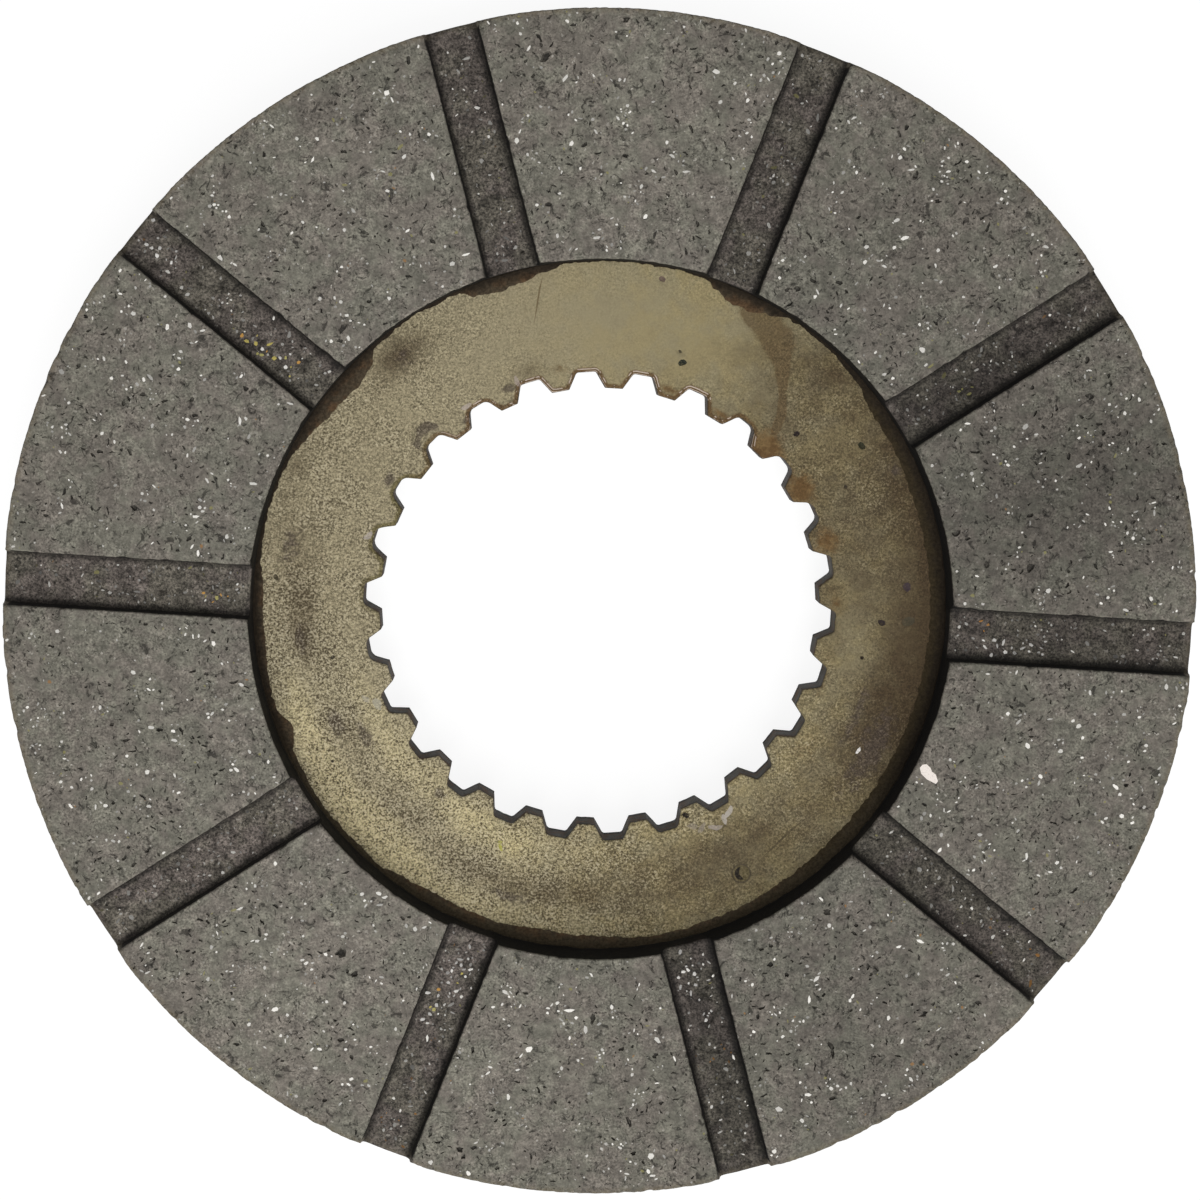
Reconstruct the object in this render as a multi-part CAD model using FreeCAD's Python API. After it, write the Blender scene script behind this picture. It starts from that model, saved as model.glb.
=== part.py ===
import FreeCAD, Part
import math
import os

# Dry brake friction disc: a steel core plate with an internal spline, and a
# grooved friction lining bonded to each face. Sizes are in millimetres. The
# axis is +Z and the front lining faces it, the origin is the centre of the
# plate, and +X runs along the middle of one groove and of one spline space.

# Friction linings
lining_diameter = 178.0
lining_bore = 105.0
lining_thickness = 6.4
# Broken edge between the face and the rim
rim_break = 0.25

# Radial grooves in each lining, which stop short of the plate
groove_count = 10
groove_width = 8.0
groove_depth = 2.2
groove_floor_radius = 0.6
# Lean of each groove wall, in degrees
groove_draft = 4.0

# Core plate
plate_thickness = 5.0
# From the rim of the linings in to the rim of the plate
plate_setback = 0.6
# Broken edge between each face and the rim
plate_rim_break = 0.4

# Internal spline, with straight flanks
spline_teeth = 26
spline_tip_diameter = 66.8
spline_root_diameter = 71.7
tooth_tip_width = 2.65
space_root_width = 2.95
root_corner_radius = 0.5
# Edge that the punch draws down on the front side of the spline
edge_roll_width = 0.25
edge_roll_depth = 0.5

# Adhesive film, with an uneven fringe squeezed out into the lining bore
adhesive_thickness = 0.1
squeeze_out = 1.5
squeeze_swing = 1.1
# Each wave of the fringe: waves in a turn, and its share of the swing
squeeze_waves = ((2, 0.45), (5, 0.3), (9, 0.25))
squeeze_arcs = 30
# Turn of the waves, in degrees, on the front and on the rear film
front_squeeze_turn = 20.0
rear_squeeze_turn = 95.0

# How far a cutting body runs past the surface that it opens
overrun = 2.0


def polar(radius, angle, z):
    """Point at a radius and an angle in radians about the axis."""
    return FreeCAD.Vector(radius * math.cos(angle), radius * math.sin(angle), z)


def rounded_wire(corners, radii):
    """Closed wire through the corners, each rounded by its own radius. A radius of 0 leaves a corner sharp."""
    ends = []
    edges = []
    count = len(corners)
    for i in range(count):
        corner = corners[i]
        if radii[i] == 0:
            ends.append((corner, corner))
            continue
        to_last = (corners[i - 1] - corner).normalize()
        to_next = (corners[(i + 1) % count] - corner).normalize()
        half_angle = to_last.getAngle(to_next) / 2
        reach = radii[i] / math.tan(half_angle)
        sag = radii[i] / math.sin(half_angle) - radii[i]
        start = corner + to_last * reach
        middle = corner + (to_last + to_next).normalize() * sag
        end = corner + to_next * reach
        edges.append(Part.Arc(start, middle, end).toShape())
        ends.append((start, end))
    for i in range(count):
        edges.append(Part.makeLine(ends[i][1], ends[(i + 1) % count][0]))
    return Part.Wire(Part.sortEdges(edges)[0])


def spline_corners(z):
    """Corners of the splined hole, four for each space, counter-clockwise."""
    tip_radius = spline_tip_diameter / 2
    root_radius = spline_root_diameter / 2
    pitch = 2 * math.pi / spline_teeth
    tip_half = math.asin(tooth_tip_width / 2 / tip_radius)
    root_half = math.asin(space_root_width / 2 / root_radius)
    corners = []
    for space in range(spline_teeth):
        middle = space * pitch
        corners.append(polar(tip_radius, middle - pitch / 2 + tip_half, z))
        corners.append(polar(root_radius, middle - root_half, z))
        corners.append(polar(root_radius, middle + root_half, z))
        corners.append(polar(tip_radius, middle + pitch / 2 - tip_half, z))
    return corners


def widened(corners, distance):
    """Corners of the hole when each of its sides is moved outwards by a distance."""
    moved = []
    count = len(corners)
    for i in range(count):
        before = (corners[i] - corners[i - 1]).normalize()
        after = (corners[(i + 1) % count] - corners[i]).normalize()
        out_before = FreeCAD.Vector(before.y, -before.x, 0)
        out_after = FreeCAD.Vector(after.y, -after.x, 0)
        mitre = distance / (1 + out_before.dot(out_after))
        moved.append(corners[i] + (out_before + out_after) * mitre)
    return moved


def spline_cutter():
    """Body of the splined hole: a straight prism, and the flare of the rolled edge at the front face."""
    radii = [0, root_corner_radius, root_corner_radius, 0] * spline_teeth
    face = plate_thickness / 2
    lowest = -face - overrun
    hole = Part.Face(rounded_wire(spline_corners(lowest), radii))
    prism = hole.extrude(FreeCAD.Vector(0, 0, plate_thickness + 2 * overrun))
    roll_start = spline_corners(face - edge_roll_depth)
    roll_end = widened(spline_corners(face), edge_roll_width)
    flare = Part.makeLoft([rounded_wire(roll_start, radii), rounded_wire(roll_end, radii)], True, True)
    return [prism, flare]


def core_plate():
    """Flat steel plate, with both rim edges broken and the spline punched through."""
    rim = lining_diameter / 2 - plate_setback
    face = plate_thickness / 2
    half_section = Part.makePolygon([
        FreeCAD.Vector(0, 0, -face),
        FreeCAD.Vector(rim - plate_rim_break, 0, -face),
        FreeCAD.Vector(rim, 0, plate_rim_break - face),
        FreeCAD.Vector(rim, 0, face - plate_rim_break),
        FreeCAD.Vector(rim - plate_rim_break, 0, face),
        FreeCAD.Vector(0, 0, face),
        FreeCAD.Vector(0, 0, -face),
    ])
    blank = Part.Face(half_section).revolve(FreeCAD.Vector(0, 0, 0), FreeCAD.Vector(0, 0, 1), 360)
    return blank.cut(spline_cutter()).Solids[0]


def squeeze_outline(z, turn):
    """Wavy closed chain of arcs where the squeezed-out adhesive ends, inside the lining bore."""
    points = []
    for step in range(2 * squeeze_arcs):
        angle = math.pi * step / squeeze_arcs
        wave = 0.0
        for waves, share in squeeze_waves:
            wave += share * math.sin(waves * (angle + math.radians(turn)) + waves)
        reach = squeeze_out + squeeze_swing * wave
        points.append(polar(lining_bore / 2 - reach, angle, z))
    arcs = []
    for i in range(0, len(points), 2):
        arcs.append(Part.Arc(points[i], points[i + 1], points[(i + 2) % len(points)]).toShape())
    return Part.Wire(arcs)


def adhesive(turn):
    """Film on the front face of the plate, out to the broken edge of the plate's rim."""
    face = plate_thickness / 2
    outer = lining_diameter / 2 - plate_setback - plate_rim_break
    film = Part.makeCylinder(outer, adhesive_thickness, FreeCAD.Vector(0, 0, face))
    opening = Part.Face(squeeze_outline(face - overrun, turn))
    opening = opening.extrude(FreeCAD.Vector(0, 0, adhesive_thickness + 2 * overrun))
    return film.cut(opening).Solids[0]


def groove_cutter(face):
    """Body of one groove along +X, with leaning walls and rounded floor corners, below a lining face."""
    start = lining_bore / 2 - overrun
    length = (lining_diameter - lining_bore) / 2 + 2 * overrun
    lean = math.tan(math.radians(groove_draft))
    half_top = groove_width / 2 + overrun * lean
    half_floor = groove_width / 2 - groove_depth * lean
    corners = [
        FreeCAD.Vector(start, -half_top, face + overrun),
        FreeCAD.Vector(start, -half_floor, face - groove_depth),
        FreeCAD.Vector(start, half_floor, face - groove_depth),
        FreeCAD.Vector(start, half_top, face + overrun),
    ]
    section = Part.Face(rounded_wire(corners, [0, groove_floor_radius, groove_floor_radius, 0]))
    return section.extrude(FreeCAD.Vector(length, 0, 0))


def lining():
    """Front lining ring, seated on the adhesive film, with its grooves cut from the face."""
    seat = plate_thickness / 2 + adhesive_thickness
    face = seat + lining_thickness
    bore = lining_bore / 2
    rim = lining_diameter / 2
    half_section = Part.makePolygon([
        FreeCAD.Vector(bore, 0, seat),
        FreeCAD.Vector(rim, 0, seat),
        FreeCAD.Vector(rim, 0, face - rim_break),
        FreeCAD.Vector(rim - rim_break, 0, face),
        FreeCAD.Vector(bore, 0, face),
        FreeCAD.Vector(bore, 0, seat),
    ])
    ring = Part.Face(half_section).revolve(FreeCAD.Vector(0, 0, 0), FreeCAD.Vector(0, 0, 1), 360)
    cutters = []
    for groove in range(groove_count):
        cutter = groove_cutter(face)
        cutter.rotate(FreeCAD.Vector(0, 0, 0), FreeCAD.Vector(0, 0, 1), groove * 360 / groove_count)
        cutters.append(cutter)
    return ring.cut(cutters).Solids[0]


def to_rear(shape):
    """The same shape on the other face of the plate."""
    return shape.mirror(FreeCAD.Vector(0, 0, 0), FreeCAD.Vector(0, 0, 1))


nodes = {
    "core_plate": core_plate(),
    "front_adhesive": adhesive(front_squeeze_turn),
    "front_lining": lining(),
    "rear_adhesive": to_rear(adhesive(rear_squeeze_turn)),
    "rear_lining": to_rear(lining()),
}

os.makedirs("parts", exist_ok=True)
for name, shape in nodes.items():
    shape.exportStep("parts/" + name + ".step")
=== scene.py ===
import bmesh
import bpy
import functools
import math
import random
from mathutils import Matrix, Vector, noise
from mathutils.geometry import delaunay_2d_cdt
from mathutils.kdtree import KDTree


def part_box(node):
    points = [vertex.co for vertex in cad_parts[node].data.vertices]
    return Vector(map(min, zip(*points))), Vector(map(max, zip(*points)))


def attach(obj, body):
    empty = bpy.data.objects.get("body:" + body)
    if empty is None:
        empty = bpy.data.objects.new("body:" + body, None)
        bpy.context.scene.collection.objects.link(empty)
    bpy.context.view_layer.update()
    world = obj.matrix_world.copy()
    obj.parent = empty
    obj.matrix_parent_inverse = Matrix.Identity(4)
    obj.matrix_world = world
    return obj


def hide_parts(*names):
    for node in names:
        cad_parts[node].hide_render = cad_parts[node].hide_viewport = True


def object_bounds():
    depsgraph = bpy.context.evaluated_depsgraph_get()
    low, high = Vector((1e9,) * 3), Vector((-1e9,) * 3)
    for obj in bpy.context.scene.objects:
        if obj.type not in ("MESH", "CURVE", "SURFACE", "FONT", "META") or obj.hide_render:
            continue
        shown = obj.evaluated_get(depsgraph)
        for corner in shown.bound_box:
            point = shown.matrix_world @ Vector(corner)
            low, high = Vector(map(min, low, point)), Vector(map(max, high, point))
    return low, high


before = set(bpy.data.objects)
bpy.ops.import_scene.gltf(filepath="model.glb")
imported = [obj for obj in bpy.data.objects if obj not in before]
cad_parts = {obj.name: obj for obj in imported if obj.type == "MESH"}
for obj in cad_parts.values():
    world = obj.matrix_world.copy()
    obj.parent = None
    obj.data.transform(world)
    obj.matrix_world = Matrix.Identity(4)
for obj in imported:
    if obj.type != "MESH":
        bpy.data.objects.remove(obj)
cad_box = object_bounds()

# The mesh code works in millimetres, and Skin.build turns them into metres.
MM = 0.001


def node_top(node):
    """Height of the top of a CAD node, in millimetres."""
    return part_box(node)[1].z / MM


def node_reach(node):
    """Largest radius of a CAD node, in millimetres."""
    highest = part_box(node)[1]
    return max(highest.x, highest.y) / MM


# Levels and radii from the frame
FACE = node_top("front_lining")
SEAT = node_top("front_adhesive")
PLATE_FACE = node_top("core_plate")
RIM_RADIUS = node_reach("front_lining")
PLATE_RIM = node_reach("core_plate")
FILM_RIM = node_reach("front_adhesive")

# Lining
BORE_RADIUS = 52.5
GROOVES = 10
GROOVE_PITCH = 2 * math.pi / GROOVES
GROOVE_HALF = 4.0
GROOVE_DEPTH = 2.2
GROOVE_FILLET = 0.6
GROOVE_LEAN = math.tan(math.radians(4.0))
# Rows down the wall of a land: depth below the face, setback of the wall, and share of the edge wear
WALL_ROWS = (
    (0.01, 0.15, 1.0),
    (0.05, 0.05, 0.85),
    (0.16, 0.0, 0.6),
    (0.6, 0.0, 0.2),
    (1.2, 0.0, 0.05),
    (1.75, 0.0, 0.0),
    (2.05, 0.0, 0.0),
    (GROOVE_DEPTH, 0.0, 0.0),
)
LAND_LEVEL = FACE - WALL_ROWS[0][0]
# Levels of the rows below the groove floors, and their setback
LOWER_ROWS = (5.6, 4.1, SEAT)
WALL_INSET = 0.02
EDGE_STEP = 0.5
WALL_ROUGHNESS = 0.07
ROUGH_WALL_DEPTH = 0.3
FLOOR_STEP = 0.6
FLOOR_RELIEF = 0.16
# Wear of the corners of a land, and how many steps along an edge it reaches
CORNER_WEAR = 0.5
CORNER_STEPS = 1.8
# Side of the squares that have one corner wear each
CORNER_CELL = 12

# Flecks and pits: number on a land or a groove floor, and usual size
FLECKS_PER_LAND = 200
PITS_PER_LAND = 250
FLECKS_PER_GROOVE = 75
PIT_TRIES_PER_GROOVE = 60
FLECK_SIZE = 0.41
FLECK_PROUD = 0.05
PIT_SIZE = 0.38
SMALL_PIT = 0.42
DEEPEST_PIT = 0.42
CROOKED_SHARE = 0.35
# Flecks less bright than this are smaller
DULL_FLECK = 0.58
# Least distance of a mark from the edge of its land, and of a fleck or pit from the edge of a groove floor
EDGE_MARGIN = 0.35
FLECK_MARGIN = 0.3
PIT_MARGIN = 0.5
# Side of the cells in which near marks are looked for
SPACING_CELL = 2.4

# Spline of the core plate
TEETH = 26
TIP_RADIUS = 33.4
ROOT_RADIUS = 35.85
TIP_HALF_WIDTH = 1.325
SPACE_HALF_WIDTH = 1.475
STRAIGHT_STEPS = 4
SPLINE_SEED = 3
PLATE_MARK_SEED = 31
PLATE_FACE_SEEDS = (5, 6)
# Spaces whose root corners are rounder than the others, from and to an angle in degrees
WORN_SPACES = ((18, 62), (122, 168), (188, 198))
WORN_ROUNDING = 2.1
LARGEST_ROUNDING = 2.3
# Rows down the splined hole: level, widening of the hole, and radii of its tip and root corners
SPLINE_ROWS = (
    (PLATE_FACE, 0.3, 0.42, 0.75),
    (PLATE_FACE - 0.05, 0.17, 0.36, 0.66),
    (PLATE_FACE - 0.16, 0.08, 0.28, 0.58),
    (PLATE_FACE - 0.4, 0.02, 0.2, 0.52),
    (PLATE_FACE - 0.9, 0.0, 0.14, 0.5),
    (0.4, 0.0, 0.12, 0.5),
    (-0.9, 0.0, 0.12, 0.5),
    (0.4 - PLATE_FACE, 0.0, 0.12, 0.5),
    (0.05 - PLATE_FACE, 0.0, 0.1, 0.5),
    (-PLATE_FACE, 0.05, 0.1, 0.5),
)

# Rows down the rim of the plate: how far each is set in, and its level
RIM_ROWS = (
    (0.4, PLATE_FACE),
    (0.12, PLATE_FACE - 0.12),
    (0.01, PLATE_FACE - 0.4),
    (0.01, 0.4 - PLATE_FACE),
    (0.12, 0.12 - PLATE_FACE),
    (0.4, -PLATE_FACE),
)
RIM_STEPS = 240
# Spacing and waviness of the points on the face of the plate, and the radius at which the teeth start
PLATE_STEP = 0.72
TOOTH_STEP = 0.45
TOOTH_FOOT = ROOT_RADIUS + 0.9
POINT_SPACE = 0.1
PLATE_WAVE = 0.012
# Farthest distance from the hole that the plate's material is told
EDGE_REACH = 5.0
# Usual tone and grain of the plate, tone under the lining, and turn of the rear face's stains
PLATE_TONE = 0.92
PLATE_GRAIN = 0.78
SHALLOWEST_GRAIN = 0.1
COVERED_TONE = 0.6
REAR_TURN = 2.1

FILM_STEPS = 1080

# Camera, floor and light from all round, with places in metres
CAMERA_PLACE = Vector((-0.01236, 0.04159, 0.32334))
CAMERA_AIM = Vector((-0.00676, 0.01664, 0.009))
CAMERA_LENS = 63.86
CAMERA_SHIFT = (0.0309, -0.0835)
FLOOR_HALF = 3.0
ROUND_LIGHT = 0.08
# Turn of the disc under the camera
DISC_TURN = math.radians(3.6)

# Marks on faces: linear red, green and blue, and how far they cover the material
BARE = (0.0, 0.0, 0.0, 0.0)
# The dark of a pit's edge and floor is painted shade
PIT_EDGE_SHADE = (0.035, 0.031, 0.026, 0.55)
ORANGE_FLECK = (0.4, 0.2, 0.06, 1.0)
CHIP_COLOUR = (0.95, 0.87, 0.8, 1.0)
CRESCENT_COLOUR = (0.012, 0.01, 0.01, 0.95)

# Linear colours of the lining. A pair is mixed in patches.
LINING_GREYS = ((0.171, 0.163, 0.133), (0.172, 0.154, 0.131))
GROOVE_DUST = ((0.1, 0.09, 0.073), (0.094, 0.08, 0.07))
DARK_SPECK = (0.035, 0.032, 0.028)
PALE_SPECK = (0.46, 0.43, 0.38)
DUSTY_SPECK = (0.25, 0.23, 0.2)
LAND_TAN = (0.15, 0.12, 0.075)
GROOVE_TAN = (0.1, 0.085, 0.06)

# Linear colours of the plate, and the gain of its palest areas, among them the painted light at the lower
# left
CLEAN_STEEL = ((0.315, 0.262, 0.14), (0.292, 0.252, 0.15))
LEFT_STEEL = (0.304, 0.262, 0.166)
PALE_GAIN = (1.5, 1.49, 1.36)
DARK_STEEL = (0.06, 0.041, 0.022)
PURPLE_STEEL = (0.068, 0.052, 0.042)
STREAKED_STEEL = (0.108, 0.073, 0.036)
RUST = ((0.11, 0.06, 0.022), (0.165, 0.102, 0.042))
EDGE_BROWN = ((0.1, 0.055, 0.022), (0.12, 0.1, 0.04))
DEEP_GRAIN = (0.075, 0.055, 0.033)
GLINT = (0.56, 0.5, 0.37)
# Painted highlight along the rolled edge of the upper teeth
EDGE_HIGHLIGHT = (0.6, 0.5, 0.42)
HOLE_WALL = ((0.062, 0.057, 0.047), (0.1, 0.062, 0.038))
# Painted shade, near black, along the lower part of the hole wall
LOW_WALL_SHADE = (0.008, 0.007, 0.006)

# Linear colours of the film
THIN_FILM = ((0.062, 0.047, 0.03), (0.085, 0.052, 0.028))
RIGHT_FILM = (0.034, 0.025, 0.013)
THICK_FILM = ((0.055, 0.043, 0.027), (0.02, 0.015, 0.01))

# Pale chip beside the bore of the front lining
CHIP_OUTLINE = (
    (49.5, -21.2), (50.4, -22), (51.8, -22.6), (52.1, -22.2), (51.7, -21.2), (51.1, -20.8), (50.8, -20.2),
    (50.2, -19.7), (49.6, -19.8), (49.2, -20.3),
)

# Beds of flecks on the groove floors of the front lining: groove, place along and across it, spread along
# and across, number of flecks and share of yellow and orange ones
FLECK_BEDS = (
    (7, 57, 0.3, 1.4, 1.2, 18, 0.1), (7, 60, 0.8, 1.6, 1.3, 18, 0.12), (7, 64.4, -0.8, 2, 1.2, 20, 0.06),
    (4, 66.6, 1.8, 0.8, 0.5, 6, 0.8), (4, 62.8, 1.4, 1.4, 0.7, 9, 0.8), (4, 58.9, 1.2, 1.2, 0.8, 7, 0.5),
    (4, 84.8, 0.3, 1.8, 1.2, 16, 0), (5, 59.6, 1.5, 0.4, 0.4, 4, 1), (5, 57.3, 1.3, 0.6, 0.4, 5, 1),
    (5, 55.8, 0.6, 0.8, 0.8, 4, 0.3), (0, 60, -1.8, 2, 0.7, 14, 0), (0, 65.5, -1.6, 1.8, 0.7, 12, 0),
    (8, 57.5, -0.4, 2.4, 1.1, 18, 0), (8, 64, 1.2, 1.2, 1, 7, 0),
)

# Broad lighter and darker areas of the front lining, in the terms of the stains below
# Partly the lining's own tone and partly painted light falloff: darker on the right and lighter at the
# lower left, some groove floors included
LINING_TONES_AND_FALLOFF = (
    (18, 72, 17, 26, -0.42), (54, 72, 17, 26, -0.13), (90, 72, 17, 26, 0.14), (126, 72, 17, 26, 0.12),
    (162, 76, 15, 22, 0.05), (198, 72, 17, 26, 0.08), (234, 72, 17, 26, 0.18), (261, 76, 10, 20, 0.14),
    (306, 72, 19, 26, -0.18), (342, 72, 17, 26, -0.08), (0, 60, 3.2, 8, 0.05), (0, 75, 3.2, 20, -0.16),
    (36, 66, 3.2, 24, -0.36), (72, 70, 3.2, 30, -0.03), (108, 70, 3.2, 30, 0.05), (144, 70, 3.2, 30, 0.12),
    (180, 70, 3.2, 30, 0.3), (216, 70, 3.2, 30, 0.4), (252, 82, 3.2, 16, 0.1), (252, 55, 3.2, 6, 0.25),
    (288, 70, 3.2, 30, -0.36), (324, 70, 3.2, 30, -0.14),
)

# Groove corners with extra painted shade: groove, side and strength
SHADED_CORNERS = {
    (0, -1): 0.8, (1, -1): 0.6, (2, -1): 0.7, (3, -1): 0.5, (4, -1): 0.4,
    (5, 1): 0.4, (7, 1): 0.7, (8, 1): 1.1, (9, -1): 0.3, (9, 1): 0.5,
}

# Stains on the front of the plate: angle in degrees, radius, reach round the axis and along the radius in
# millimetres, and strength
# Partly real stains and partly painted light: darker on the right, lighter at the lower left and beside the
# lining there, where its shadow falls. A negative strength lightens.
PLATE_STAINS_AND_LIGHT = (
    (20, 42, 32, 40, 0.52), (357, 52, 40, 5, 0.52), (350, 46, 12, 4.5, 0.2), (336, 45, 13, 6, 0.38),
    (308, 43.5, 12, 7, 0.4), (287, 44.5, 13, 7, 0.45), (266, 44.5, 8, 3.2, 0.4), (248, 44.9, 8, 2.4, 0.52),
    (229, 42.4, 7, 2.6, 0.42), (210, 42.8, 5, 1.8, 0.35), (190, 45.3, 5, 2.2, 0.45),
    (181, 45.5, 6, 3.2, 0.35), (170, 48, 5, 4, 0.3), (132, 48.8, 5.5, 2.8, 0.62), (158, 50.5, 5, 2, 0.35),
    (51, 49, 6, 3.4, 0.25), (52, 41, 6, 6, 0.14), (205, 38, 7, 2.4, -0.4), (222, 38.5, 8, 4, -0.7),
    (243, 38.5, 8, 3.6, -0.8), (256, 39, 6, 3.4, -0.5), (205, 48.2, 9, 2.6, -0.75),
    (229, 48.6, 15, 3.2, -1.25), (229, 50.4, 14, 1.4, -0.6), (256, 49.4, 8, 2.2, -0.45),
    (200, 43.5, 3, 1.5, -0.3), (204, 40.6, 10, 1.6, -0.15), (230, 45.2, 4, 2, -0.35),
    (354, 40.2, 7, 2.6, -0.14), (110, 37, 2.2, 1.6, 0.35), (61, 45.8, 5, 4, 0.16),
    (240, 37.2, 3, 1.2, -0.1),
)
PURPLE_STAINS = (
    (131, 48.6, 4.4, 3, 0.36), (172, 47.6, 5, 2.2, 0.45), (189.5, 45.6, 3, 1.4, 0.55),
    (138, 38, 1.6, 0.8, 1), (141.5, 37.2, 0.7, 1.1, 0.9), (135.8, 37, 0.6, 0.8, 0.9),
    (152, 37.4, 1.4, 0.8, 0.8), (207, 43.8, 2.4, 1.3, 0.7), (212, 40.8, 3, 1.1, 0.6),
    (233, 37.6, 1, 0.8, 0.9), (256, 46.6, 4.5, 0.8, 0.6), (29, 49.4, 1.4, 0.9, 0.7), (335, 47, 9, 3, 0.55),
    (340, 42.5, 8, 1, 0.5), (116, 36, 1.2, 0.8, 0.8), (128, 35, 1.5, 0.5, 0.8),
)
RUST_STAINS = (
    (20, 35.8, 2.6, 2.4, 0.9), (34.5, 35.4, 2.8, 2.4, 1.1), (47.5, 35, 2.8, 2.6, 1.25),
    (62, 34.6, 2, 0.6, 0.9), (76, 34.8, 2.2, 0.7, 0.8), (97, 35.4, 2, 1.3, 0.8), (103, 36.8, 1.4, 1, 0.6),
    (5, 36, 2.6, 1.5, 0.6), (345, 35.6, 4, 1.3, 0.5), (330, 38, 4, 3, 0.35),
)

# Brown streak: angle, radius and half the width at each point
STREAK = (
    (66.5, 50.6, 2.2), (60, 48.5, 2.5), (57, 46, 1.3), (53.3, 42.6, 0.6), (50.5, 40, 0.8), (49, 37.6, 0.7),
)

# Brown film between the fringe and the bare steel: angle, and the radius it reaches in to
FRINGE = (
    (0, 50.3), (9, 50.2), (15, 50.3), (24, 50.3), (32, 50.5), (38, 50.6), (41, 50.8), (44, 51.6),
    (52, 52.2), (60, 52.2), (64, 51), (67, 50.1), (71, 50.1), (74, 51.2), (76, 52.3), (88, 52.4),
    (99, 52.3), (103, 51.4), (107, 50.7), (111, 50.1), (115, 50.7), (118, 52.1), (127, 52.3), (134, 52),
    (137, 50.2), (141, 49.6), (148, 50.1), (153, 51.1), (158, 52.1), (168, 52.2), (175, 51.8), (180, 51.1),
    (190, 51), (196, 51.5), (201, 51.5), (204.5, 50.1), (207, 50.8), (209, 51.6), (220, 52), (228, 51.8),
    (233, 51.9), (237, 51.3), (243, 50.8), (255, 50.9), (264, 50.5), (272, 50.8), (282, 51.4), (300, 51.1),
    (310, 50.7), (325, 50.4), (340, 50.4), (352, 50.3), (360, 50.3),
)

# Where the blasted grain is deeper or shallower than usual, in the terms of the stains
GRAIN_AREAS = (
    (205, 47, 32, 9, 1.05), (240, 42, 22, 12, 0.7), (150, 44, 20, 12, 0.2), (0, 45, 16, 14, -0.4),
    (92, 44, 22, 14, -0.68), (65, 44, 12, 8, -0.3), (30, 44, 14, 10, 0.25), (275, 43, 18, 12, 0.55),
    (332, 44, 12, 10, 0.3), (301, 46, 9, 6, -0.3),
)

# Dark dots and pale chips on the front of the plate: angle, radius, size and colour
PLATE_DOTS = (
    (75.2, 39.2, 1.15, (0.015, 0.018, 0.013, 1)), (76.4, 40.7, 0.5, (0.03, 0.025, 0.018, 0.9)),
    (35.5, 46.6, 1.1, (0.025, 0.025, 0.014, 1)), (45.3, 39.8, 0.95, (0.015, 0.01, 0.01, 1)),
    (7.5, 46.8, 1.3, (0.045, 0.032, 0.04, 0.9)), (0.5, 43, 1.1, (0.025, 0.018, 0.018, 1)),
    (1, 47, 1.7, (0.05, 0.05, 0.035, 0.5)), (83, 50.6, 1, (0.1, 0.06, 0.06, 0.8)),
    (30, 41.5, 0.6, (0.03, 0.024, 0.018, 0.9)), (213.5, 47, 0.5, (0.015, 0.012, 0.01, 1)),
    (352.7, 40.7, 0.6, (0.02, 0.014, 0.01, 1)), (194, 41.3, 0.6, (0.03, 0.025, 0.02, 0.9)),
    (178, 49.3, 0.9, (0.03, 0.025, 0.015, 0.8)), (296, 34.6, 1, (0.015, 0.012, 0.01, 1)),
)
PLATE_CHIPS = (
    (334.5, 45.3, 0.75, (0.75, 0.72, 0.68, 1)), (112.5, 51.2, 0.8, (0.55, 0.46, 0.42, 1)),
    (111.3, 51.6, 0.6, (0.4, 0.33, 0.3, 0.9)), (251.3, 39.9, 0.9, (0.42, 0.4, 0.08, 0.85)),
    (250.7, 39.2, 0.6, (0.4, 0.38, 0.1, 0.8)), (304, 37.8, 1.2, (0.42, 0.38, 0.34, 0.8)),
    (301.3, 38.3, 1.3, (0.38, 0.33, 0.29, 0.7)), (305.8, 37.2, 1.3, (0.44, 0.4, 0.36, 0.8)),
    (298.5, 37.4, 1.2, (0.3, 0.26, 0.22, 0.55)), (296.5, 36.6, 1.3, (0.28, 0.24, 0.2, 0.5)),
    (166, 36.7, 1.2, (0.42, 0.37, 0.33, 0.8)), (127, 36.6, 1.1, (0.45, 0.38, 0.33, 0.8)),
    (113.6, 36.6, 1.2, (0.36, 0.3, 0.26, 0.75)), (207, 36.9, 1.4, (0.42, 0.4, 0.33, 0.6)),
    (205, 38.2, 1.2, (0.4, 0.37, 0.3, 0.6)),
)

# Thin dark lines on the front of the plate: half a width, colour, and the angle and radius of each point
PLATE_LINES = (
    (0.12, (0.11, 0.075, 0.035, 0.75), ((103.3, 51.0), (104.2, 49.3), (105.4, 46.6), (106.6, 44.2))),
    (0.16, (0.045, 0.033, 0.02, 0.6), ((306.0, 46.1), (309.5, 45.6), (314.0, 45.2), (318.5, 45.4))),
)

# Punch mark on the plate: angle and radius, and for each of its rings the radius, drop and colour
RING_PLACE = (301.5, 46.5)
RING_STEPS = ((1.55, 0.0, (0.05, 0.04, 0.03, 0.7)), (1.3, 0.08, (0.1, 0.08, 0.035, 0.5)))


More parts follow.
